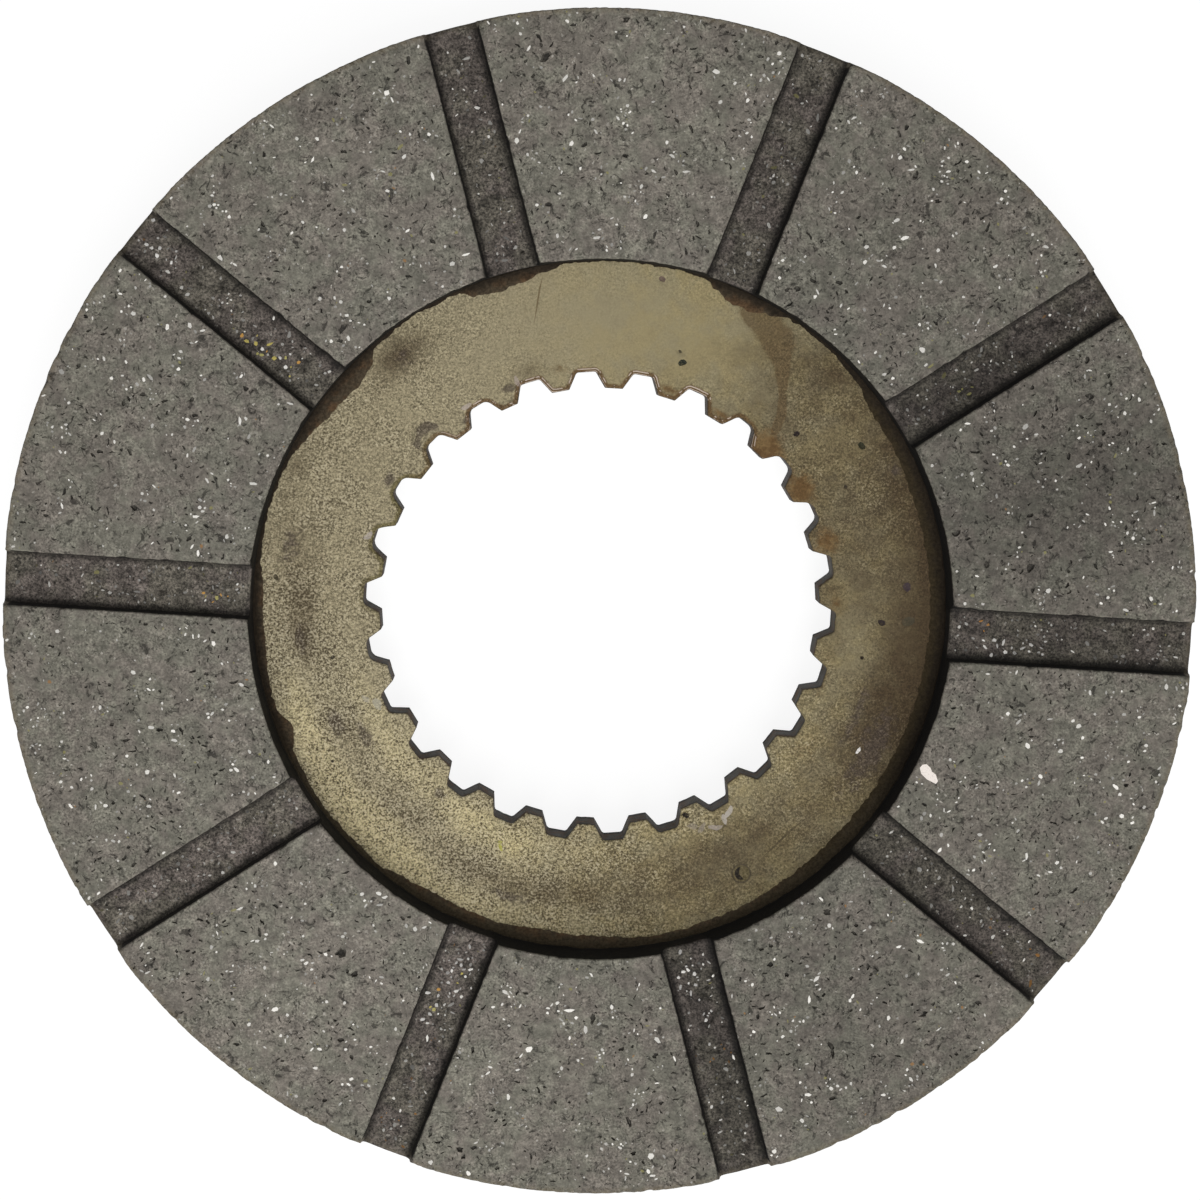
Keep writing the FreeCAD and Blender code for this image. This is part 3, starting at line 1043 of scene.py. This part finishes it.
def plate_face(skin, rim, hole, level, seed, details):
    """One face of the plate, with finely spaced points where it shows inside the lining."""
    rand = random.Random(seed)
    spacing = Spacing()
    loose = []
    reach = round(BORE_RADIUS / PLATE_STEP) + 2
    drop = 1 if level > 0 else -1
    for i in range(-reach, reach + 1):
        for j in range(-reach, reach + 1):
            x = (i + rand.uniform(-0.35, 0.35)) * PLATE_STEP
            y = (j + rand.uniform(-0.35, 0.35)) * PLATE_STEP
            if TOOTH_FOOT < math.hypot(x, y) < BORE_RADIUS + 1 and spacing.take(x, y, POINT_SPACE):
                wave = PLATE_WAVE * soft_noise(x, y, 0, 3.0, seed)
                loose.append((x, y, level + drop * min(wave - PLATE_WAVE, 0.0)))
    tooth_pitch = 2 * math.pi / TEETH
    root_half = ROOT_RADIUS * tooth_pitch / 2 - SPACE_HALF_WIDTH
    flank_slope = (root_half - TIP_HALF_WIDTH) / (ROOT_RADIUS - TIP_RADIUS)
    for tooth in range(TEETH):
        u = TIP_RADIUS + 0.5
        while u < TOOTH_FOOT:
            half = TIP_HALF_WIDTH - TOOTH_STEP + flank_slope * (min(u, ROOT_RADIUS) - TIP_RADIUS)
            v = -half
            while v <= half:
                spot = (u + rand.uniform(-0.1, 0.1), v + rand.uniform(-0.1, 0.1))
                x, y = turned_point(*spot, (tooth + 0.5) * tooth_pitch)
                if spacing.take(x, y, POINT_SPACE):
                    loose.append((x, y, level))
                v += TOOTH_STEP
            u += TOOTH_STEP
    skin.fill(rim, [hole], details, loose, level, False)


def plate_skin():
    """Core plate as one closed skin, from the splined hole to the rim."""
    rand = random.Random(PLATE_MARK_SEED)
    skin = Skin()
    rows = []
    for row in SPLINE_ROWS:
        rows.append([skin.point(*spot) for spot in spline_row(*row)])
    skin.bands(rows)
    rim_rows = []
    for inset, level in RIM_ROWS:
        radius = PLATE_RIM - inset
        circle = [turned_point(radius, 0, 2 * math.pi * i / RIM_STEPS) for i in range(RIM_STEPS)]
        rim_rows.append([skin.point(x, y, level) for x, y in circle])
    skin.bands(rim_rows)
    details = ring_mark(PLATE_FACE)
    for degrees, radius, size, colour in PLATE_DOTS:
        x, y = polar_spot(degrees, radius)
        mouth = blob(rand, x, y, size, 1.2, 9, 0.2)
        details.append((raised(mouth, PLATE_FACE), colour))
        details.append((raised(shrunk(mouth, x, y, 0.6, rand), PLATE_FACE - 0.1), colour))
    for degrees, radius, size, colour in PLATE_CHIPS:
        x, y = polar_spot(degrees, radius)
        details.append((raised(blob(rand, x, y, size, 1.9, 9, 0.4), PLATE_FACE), colour))
    for half, colour, path in PLATE_LINES:
        details.append(dark_line(half, colour, path, PLATE_FACE))
    plate_face(skin, rim_rows[0], rows[0], PLATE_FACE, PLATE_FACE_SEEDS[0], details)
    plate_face(skin, rim_rows[-1], rows[-1], -PLATE_FACE, PLATE_FACE_SEEDS[1], [])
    hole = KDTree(len(rows[0]))
    for number, i in enumerate(rows[0]):
        x, y, z = skin.points[i]
        hole.insert((x, y, 0), number)
    hole.balance()
    for x, y, z in skin.points:
        near = math.hypot(x, y) < ROOT_RADIUS + EDGE_REACH
        skin.edge_distance.append(hole.find((x, y, 0))[2] if near else EDGE_REACH)
    return skin


def fringe_radius(degrees):
    """Radius that the squeezed-out film reaches in to."""
    for first, second in zip(FRINGE, FRINGE[1:]):
        if first[0] <= degrees <= second[0]:
            share = (degrees - first[0]) / (second[0] - first[0])
            eased = share * share * (3 - 2 * share)
            return blend(first[1], second[1], eased)
    return BORE_RADIUS


def film_skin(offset, seed):
    """Bonding film: flat under the lining, with a ragged fringe and a small fillet up the lining's bore."""
    skin = Skin()
    rings = []
    for i in range(FILM_STEPS):
        turn = 2 * math.pi * i / FILM_STEPS
        x, y = turned_point(BORE_RADIUS, 0, turn)
        ragged = 0.28 * soft_noise(x, y, 0, 1.1, seed) + 0.16 * soft_noise(x, y, 0, 0.45, seed + 1)
        edge = fringe_radius((math.degrees(turn) + offset) % 360) + ragged
        edge = min(edge, BORE_RADIUS - 0.05)
        width = BORE_RADIUS - edge
        thick = 0.012 + 0.05 * min(width, 1.0) * (1.2 + soft_noise(x, y, 3, 0.9, seed + 2))
        climb = 0.2 + 0.4 * min(width, 1.5) * (0.8 + soft_noise(x, y, 6, 2.0, seed + 3))
        section = (
            (edge, PLATE_FACE),
            (edge + 0.015, PLATE_FACE + 0.01),
            (edge + 0.25 * width, PLATE_FACE + 0.5 * thick),
            (edge + 0.55 * width, PLATE_FACE + thick),
            (edge + 0.8 * width, PLATE_FACE + 1.3 * thick + 0.15 * climb),
            (BORE_RADIUS + 0.04, SEAT + climb),
            (BORE_RADIUS + 0.1, SEAT),
            (FILM_RIM, SEAT),
            (FILM_RIM, PLATE_FACE),
        )
        rings.append([skin.point(*turned_point(radius, 0, turn), level) for radius, level in section])
    rows = [list(row) for row in zip(*rings)]
    skin.bands(rows + rows[:1])
    return skin


class Shader:
    """Nodes of one new material or world. Plain colours are given as red, green and blue."""

    def __init__(self, owner):
        owner.use_nodes = True
        self.owner = owner
        self.tree = owner.node_tree

    def node(self, kind, inputs=(), **settings):
        """New node, with its inputs by name or number."""
        node = self.tree.nodes.new("ShaderNode" + kind)
        for name, value in settings.items():
            setattr(node, name, value)
        for name, value in dict(inputs).items():
            self.feed(node.inputs[name], value)
        return node

    def feed(self, socket, value):
        if isinstance(value, bpy.types.NodeSocket):
            self.tree.links.new(value, socket)
        elif socket.type == "RGBA":
            socket.default_value = (*value, 1)
        else:
            socket.default_value = value

    @functools.cached_property
    def place(self):
        """Place on the object, in millimetres."""
        metres = self.node("TexCoord").outputs["Object"]
        return self.node("VectorMath", {0: metres, 1: (1 / MM,) * 3}, operation="MULTIPLY").outputs[0]

    def noise(self, size, detail=2.0, roughness=0.5, distortion=0.0):
        """Noise from 0 to 1, with swells of about one size in millimetres."""
        made = self.node("TexNoise", {
            "Vector": self.place,
            "Scale": 1 / size,
            "Detail": detail,
            "Roughness": roughness,
            "Distortion": distortion,
        })
        return made.outputs[0]

    def swing(self, *shape):
        """Noise from -0.5 to 0.5."""
        return self.math("SUBTRACT", self.noise(*shape), 0.5)

    def cells(self, size, place=None):
        """Distance to the middle of the nearest cell, and a random colour for each cell."""
        made = self.node("TexVoronoi", {"Vector": place or self.place, "Scale": 1 / size})
        return made.outputs["Distance"], made.outputs["Color"]

    def math(self, operation, first, second=0.0):
        return self.node("Math", {0: first, 1: second}, operation=operation).outputs[0]

    def times(self, first, second):
        return self.math("MULTIPLY", first, second)

    def plus(self, first, second):
        return self.math("ADD", first, second)

    def shifted(self, value, shift, factor):
        """Value plus a factor times a shift."""
        return self.plus(value, self.times(shift, factor))

    def rest(self, share):
        """What a share leaves of 1."""
        return self.math("SUBTRACT", 1.0, share)

    def ramp(self, value, low, high, start=0.0, end=1.0):
        """Smooth step from start to end while the value goes from low to high."""
        made = self.node("MapRange", {
            "Value": value,
            "From Min": low,
            "From Max": high,
            "To Min": start,
            "To Max": end,
        }, interpolation_type="SMOOTHSTEP")
        return made.outputs[0]

    def mix(self, share, first, second, blend_type="MIX"):
        made = self.node("Mix", {0: share, 6: first, 7: second}, data_type="RGBA", blend_type=blend_type)
        return made.outputs[2]

    def mottled(self, colours, low, high, *shape):
        """Two colours, mixed by a noise of the given shape as it goes from low to high."""
        return self.mix(self.ramp(self.noise(*shape), low, high), *colours)

    def scale(self, colour, factor):
        """Colour times a factor."""
        grey = self.node("CombineColor", {0: factor, 1: factor, 2: factor}).outputs[0]
        return self.mix(1.0, colour, grey, "MULTIPLY")

    def shade(self, colour, *ramp):
        """Colour times a ramp."""
        return self.scale(colour, self.ramp(*ramp))

    def attribute(self, name):
        return self.node("Attribute", attribute_name=name)

    def marked(self, colour, cover):
        """Colour with the marks of the faces over it."""
        mark = self.attribute("mark")
        return self.mix(self.times(mark.outputs["Alpha"], cover), colour, mark.outputs["Color"])

    def channels(self, colour):
        return self.node("SeparateColor", {0: colour}).outputs[:3]

    def axes(self, vector=None):
        return self.node("SeparateXYZ", {0: vector or self.place}).outputs[:3]

    def radius(self):
        flat = self.node("VectorMath", {0: self.place, 1: (1, 1, 0)}, operation="MULTIPLY").outputs[0]
        return self.node("VectorMath", {0: flat}, operation="LENGTH").outputs["Value"]

    def upright(self, normal):
        """1 on level faces and 0 on walls, by the normal of the given name."""
        facing = self.node("NewGeometry").outputs[normal]
        return self.math("ABSOLUTE", self.axes(facing)[2])

    def bump(self, height, distance, strength=1.0):
        return self.node("Bump", {"Height": height, "Distance": distance, "Strength": strength}).outputs[0]

    def seen(self):
        """1 for rays from the camera, straight, mirrored or passed through, and 0 for all others."""
        path = self.node("LightPath").outputs
        direct = self.math("MAXIMUM", path["Is Camera Ray"], path["Is Glossy Ray"])
        return self.math("MAXIMUM", direct, path["Is Transmission Ray"])

    def finish(self, colour, roughness, normal, specular, metallic=0.0):
        surface = self.tree.nodes["Principled BSDF"]
        self.feed(surface.inputs["Base Color"], colour)
        self.feed(surface.inputs["Roughness"], roughness)
        self.feed(surface.inputs["Normal"], normal)
        self.feed(surface.inputs["Specular IOR Level"], specular)
        self.feed(surface.inputs["Metallic"], metallic)
        return self.owner


def material_shader(name):
    return Shader(bpy.data.materials.new(name))


def lining_material():
    """Ground friction material, mottled grey, fine grained, dark and pale specks; drab grooves with painted
    shade.
    """
    shader = material_shader("friction_lining")
    colour = shader.mottled(LINING_GREYS, 0.4, 0.6, 5.0, 4.0, 0.65)
    tone = shader.noise(2.4, 4.0, 0.65)
    colour = shader.shade(colour, tone, 0.25, 0.75, 0.74, 1.26)
    grain = shader.noise(0.33, 3.0, 0.7)
    strength = shader.ramp(shader.noise(4.0, 3.0, 0.6), 0.38, 0.6, 0.45, 1.15)
    contrast = shader.times(shader.ramp(grain, 0.28, 0.72, -0.42, 0.46), strength)
    colour = shader.scale(colour, shader.plus(1.0, contrast))
    blotch = shader.noise(1.5, 5.0, 0.75, 1.0)
    colour = shader.shade(colour, blotch, 0.37, 0.45, 0.3, 1.0)
    colour = shader.shade(colour, shader.noise(1.0, 3.0, 0.6, 0.5), 0.3, 0.7, 0.78, 1.22)

    # Fine dark and pale specks, in cells that a noise bends out of shape
    bend = shader.node("TexNoise", {"Vector": shader.place, "Scale": 2.2, "Detail": 2.0}).outputs["Color"]
    bent = shader.node("VectorMath", {0: shader.place, 1: bend}, operation="ADD").outputs[0]
    away, label = shader.cells(0.62, bent)
    chance, spread, shade = shader.channels(label)
    speck = shader.math("LESS_THAN", away, shader.ramp(spread, 0.0, 1.0, 0.12, 0.4))
    dark_speck = shader.times(speck, shader.math("LESS_THAN", chance, 0.15))
    pale_speck = shader.times(shader.times(speck, shader.math("GREATER_THAN", chance, 0.88)), shade)
    colour = shader.mix(shader.times(dark_speck, 0.6), colour, DARK_SPECK)
    colour = shader.mix(pale_speck, colour, PALE_SPECK)

    # Dust on the groove floors, with painted shade along the foot of each wall and on the walls
    height = shader.math("ABSOLUTE", shader.axes()[2])
    radius = shader.radius()
    steep = shader.ramp(shader.upright("Normal"), 0.75, 0.3)
    inner = shader.rest(shader.times(steep, shader.ramp(radius, RIM_RADIUS - 1.0, RIM_RADIUS - 0.6)))
    below = shader.times(shader.ramp(height, FACE - 0.1, FACE - 0.9), inner)
    dust_and_shade = shader.mottled(GROOVE_DUST, 0.4, 0.6, 5.0, 2.0)
    dust_and_shade = shader.shade(dust_and_shade, shader.noise(2.2, 4.0, 0.7), 0.3, 0.7, 0.55, 1.25)
    dust_and_shade = shader.shade(dust_and_shade, grain, 0.28, 0.72, 0.2, 1.85)
    dust_and_shade = shader.shade(dust_and_shade, blotch, 0.36, 0.5, 0.45, 1.1)
    dust_and_shade = shader.mix(pale_speck, dust_and_shade, DUSTY_SPECK)
    tone_and_falloff, across, shaded_side = shader.channels(shader.attribute("stain").outputs["Color"])
    across = shader.shifted(across, shader.swing(1.6, 4.0, 0.7), 0.11)
    # Painted shade: the floor darkens along the foot of each wall
    dust_and_shade = shader.shade(dust_and_shade, across, 0.285, 0.345, 1.0, 0.38)
    # More painted shade along the corners named in the third channel of the stain
    dust_and_shade = shader.scale(dust_and_shade, shader.rest(shader.times(shader.ramp(across, 0.2, 0.34, 0.0, 0.6), shaded_side)))
    colour = shader.mix(below, colour, dust_and_shade)
    # Painted shade: the walls are darkened to a quarter of the floor colour, the bore wall to a tenth
    wall = shader.times(shader.times(steep, shader.ramp(height, FACE - 0.1, FACE - 0.5)), inner)
    wall_shade = shader.ramp(radius, BORE_RADIUS + 0.6, BORE_RADIUS + 1.0, 0.1, 0.25)
    colour = shader.mix(wall, colour, shader.scale(dust_and_shade, wall_shade))
    # The front lining's tone carries painted light falloff
    colour = shader.scale(colour, tone_and_falloff)

    # Tan edge at the rim
    patchy = shader.ramp(shader.noise(1.0, 3.0, 0.7), 0.35, 0.6, 0.0, 0.6)
    tan_edge = shader.times(shader.ramp(radius, RIM_RADIUS - 1.3, RIM_RADIUS - 0.1), patchy)
    colour = shader.mix(tan_edge, colour, shader.mix(below, LAND_TAN, GROOVE_TAN))

    colour = shader.marked(colour, shader.ramp(shader.noise(0.17), 0.3, 0.5, 0.7, 1.0))
    relief = shader.bump(grain, 0.00009, shader.ramp(height, FACE - 0.1, FACE - 0.9, 0.45, 1.0))
    return shader.finish(colour, shader.ramp(tone, 0.3, 0.7, 0.72, 0.86), relief, 0.15)


def steel_material():
    """Blasted steel, stained olive and brown and partly painted with light and shade, rust at the teeth,
    dark burnished hole walls.
    """
    shader = material_shader("stained_steel")
    stain = shader.attribute("stain")
    tone, purple, rust = shader.channels(stain.outputs["Color"])
    x, y, z = shader.axes()
    drift = shader.swing(3.2, 5.0, 0.7)
    tone = shader.shifted(tone, drift, 0.8)
    clean = shader.mottled(CLEAN_STEEL, 0.38, 0.62, 4.5, 3.0, 0.6)
    clean = shader.mix(shader.ramp(x, 12.0, -26.0), clean, LEFT_STEEL)
    gain = shader.mix(shader.ramp(tone, 1.0, 2.0), (1, 1, 1), PALE_GAIN)
    clean = shader.mix(1.0, clean, gain, "MULTIPLY")
    colour = shader.mix(shader.ramp(tone, 0.0, 1.05), DARK_STEEL, clean)

    # Stains with ragged edges
    ragged = shader.swing(1.0, 5.0, 0.75)
    patch = shader.ramp(shader.shifted(purple, ragged, 1.3), 0.22, 0.55, 0.0, 0.75)
    colour = shader.mix(patch, colour, PURPLE_STEEL)
    streaked = shader.ramp(shader.shifted(stain.outputs["Alpha"], ragged, 0.45), 0.42, 0.6, 0.0, 0.75)
    colour = shader.mix(streaked, colour, STREAKED_STEEL)
    rusty = shader.ramp(shader.shifted(rust, ragged, 1.4), 0.2, 0.9, 0.0, 0.9)
    colour = shader.mix(rusty, colour, shader.mottled(RUST, 0.4, 0.6, 1.5, 3.0))
    edge = shader.attribute("edge_distance").outputs["Fac"]
    upper = shader.times(shader.ramp(y, -10.0, 6.0), shader.ramp(x, 32.0, 18.0))
    brown = shader.times(shader.ramp(shader.shifted(edge, ragged, 1.0), 0.6, 0.2, 0.0, 0.85), upper)
    colour = shader.mix(brown, colour, shader.mix(shader.ramp(x, -24.0, -32.0), *EDGE_BROWN))

    # Blasted grain, with glints on its crests
    grain = shader.noise(0.31, 3.0, 0.7, 0.5)
    uneven = shader.ramp(shader.noise(5.0, 3.0, 0.7), 0.3, 0.7, 0.55, 1.4)
    deep = shader.times(shader.attribute("grain").outputs["Fac"], uneven)
    deep = shader.times(deep, shader.rest(shader.times(rusty, 0.7)))
    chip = shader.math("SUBTRACT", shader.channels(shader.cells(0.3)[1])[0], 0.5)
    crest = shader.shifted(shader.ramp(grain, 0.32, 0.68, -0.62, 0.62), chip, 0.75)
    crest = shader.times(crest, deep)
    limited = shader.math("MINIMUM", shader.math("MAXIMUM", crest, -0.4), 0.55)
    colour = shader.scale(colour, shader.plus(1.0, limited))
    colour = shader.mix(shader.ramp(crest, -0.25, -1.2, 0.0, 0.85), colour, DEEP_GRAIN)
    glint = shader.times(shader.ramp(crest, 0.3, 1.1, 0.0, 0.6), shader.ramp(tone, 0.2, 0.8, 0.25, 1.0))
    colour = shader.mix(glint, colour, GLINT)

    # Painted highlight: a bright line along the rolled edge of the highest teeth
    bright = shader.times(shader.ramp(edge, 0.08, 0.16), shader.ramp(edge, 0.34, 0.22))
    bright = shader.times(bright, shader.ramp(shader.noise(2.2, 3.0, 0.7, 1.0), 0.51, 0.56, 0.0, 0.8))
    colour = shader.mix(shader.times(bright, shader.ramp(y, 20.0, 30.0)), colour, EDGE_HIGHLIGHT)

    colour = shader.marked(colour, shader.ramp(shader.noise(0.3, 3.0, 0.7), 0.35, 0.5, 0.65, 1.0))
    wall = shader.mottled(HOLE_WALL, 0.45, 0.62, 1.6, 4.0, 0.7)
    # Painted shade: the hole wall goes nearly black towards its lower edge
    wall = shader.mix(shader.ramp(z, -1.0, -1.7), wall, LOW_WALL_SHADE)
    colour = shader.mix(shader.ramp(shader.upright("True Normal"), 0.5, 0.25), colour, wall)
    roughness = shader.ramp(drift, -0.2, 0.2, 0.55, 0.7)
    return shader.finish(colour, roughness, shader.bump(grain, 0.00012, deep), 0.08, metallic=0.1)


def film_material():
    """Cured bonding film, brown, thicker and nearly black towards the lining."""
    shader = material_shader("bonding_film")
    x, y = shader.axes()[:2]
    thin = shader.mottled(THIN_FILM, 0.4, 0.6, 3.0, 4.0, 0.6)
    thin = shader.mix(shader.ramp(x, 26.0, 36.0), thin, RIGHT_FILM)
    thick = shader.mix(shader.ramp(y, -36.0, -18.0), *THICK_FILM)
    inwards = shader.shifted(shader.radius(), shader.swing(1.3, 4.0, 0.7), 3.0)
    colour = shader.mix(shader.ramp(inwards, BORE_RADIUS - 2.1, BORE_RADIUS - 0.2), thin, thick)
    grain = shader.noise(0.4, 3.0, 0.7)
    colour = shader.shade(colour, grain, 0.3, 0.7, 0.65, 1.35)
    return shader.finish(colour, 0.7, shader.bump(grain, 0.00005), 0.05)


def floor_material():
    """White to the camera and in reflections, and plain pale paint to every other ray. It keeps shadows."""
    shader = material_shader("studio_floor")
    paint = shader.node("BsdfDiffuse", {"Color": (0.7, 0.7, 0.7)}).outputs[0]
    veil = shader.node("BsdfDiffuse", {"Color": (0.16, 0.16, 0.16)}).outputs[0]
    glow = shader.node("Emission", {"Color": (1, 1, 1), "Strength": 0.9}).outputs[0]
    bright = shader.node("AddShader", {0: veil, 1: glow}).outputs[0]
    surface = shader.node("MixShader", {0: shader.seen(), 1: paint, 2: bright}).outputs[0]
    shader.feed(shader.tree.nodes["Material Output"].inputs["Surface"], surface)
    return shader.owner


def add_piece(skin, name, node, material, turned=False, stains=None, grain=None):
    piece = skin.build(name, turned, stains, grain)
    piece.data.materials.append(material)
    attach(piece, "root")
    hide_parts(node)


def add_camera():
    data = bpy.data.cameras.new("camera")
    data.lens = CAMERA_LENS
    data.shift_x, data.shift_y = CAMERA_SHIFT
    data.clip_start = 0.01
    data.clip_end = 20
    camera = bpy.data.objects.new("camera", data)
    bpy.context.scene.collection.objects.link(camera)
    ahead = (CAMERA_AIM - CAMERA_PLACE).normalized()
    right = ahead.cross(Vector(turned_point(0, 1, DISC_TURN) + (0,))).normalized()
    up = right.cross(ahead)
    turn = Matrix((right, up, -ahead)).transposed().to_4x4()
    camera.matrix_world = Matrix.Translation(CAMERA_PLACE) @ turn
    bpy.context.scene.camera = camera


def add_floor():
    level = cad_box[0].z
    mesh = bpy.data.meshes.new("floor")
    corners = [(x * FLOOR_HALF, y * FLOOR_HALF, level) for x, y in ((-1, -1), (1, -1), (1, 1), (-1, 1))]
    mesh.from_pydata(corners, [], [(0, 1, 2, 3)])
    mesh.materials.append(floor_material())
    floor = bpy.data.objects.new("floor", mesh)
    bpy.context.scene.collection.objects.link(floor)


def add_softbox(name, place, width, height, power):
    lamp = bpy.data.lights.new(name, "AREA")
    lamp.shape = "RECTANGLE"
    lamp.size = width
    lamp.size_y = height
    lamp.energy = power
    box = bpy.data.objects.new(name, lamp)
    box.location = place
    box.rotation_mode = "QUATERNION"
    box.rotation_quaternion = (-Vector(place)).to_track_quat("-Z", "Y")
    bpy.context.scene.collection.objects.link(box)


def add_world():
    """White backdrop to the camera, and a faint white light from all round."""
    world = bpy.data.worlds.new("studio")
    bpy.context.scene.world = world
    shader = Shader(world)
    background = shader.tree.nodes["Background"]
    shader.feed(background.inputs["Color"], (1, 1, 1))
    shader.feed(background.inputs["Strength"], shader.ramp(shader.seen(), 0.0, 1.0, ROUND_LIGHT, 1.0))


add_camera()
add_world()
add_floor()
add_softbox("key_softbox", (0.12, -0.77, 0.92), width=0.8, height=1.3, power=11.0)
add_softbox("top_softbox", (0.04, -0.08, 1.2), width=0.8, height=0.5, power=5.6)

lining_look = lining_material()
film_look = film_material()
front_lining = lining_skin(seed=11, chosen=CHIP_OUTLINE, beds=FLECK_BEDS)
add_piece(front_lining, "front_lining_dressed", "front_lining", lining_look,
          stains=lining_tone_and_shade)
rear_lining = lining_skin(seed=12, chosen=(), beds=())
add_piece(rear_lining, "rear_lining_dressed", "rear_lining", lining_look, turned=True,
          stains=lining_tone_and_shade)
add_piece(plate_skin(), "core_plate_dressed", "core_plate", steel_material(),
          stains=plate_stains, grain=plate_grain)
front_film = film_skin(offset=0, seed=21)
add_piece(front_film, "front_film_dressed", "front_adhesive", film_look)
rear_film = film_skin(offset=140, seed=22)
add_piece(rear_film, "rear_film_dressed", "rear_adhesive", film_look, turned=True)

bpy.context.scene.view_settings.view_transform = "Standard"
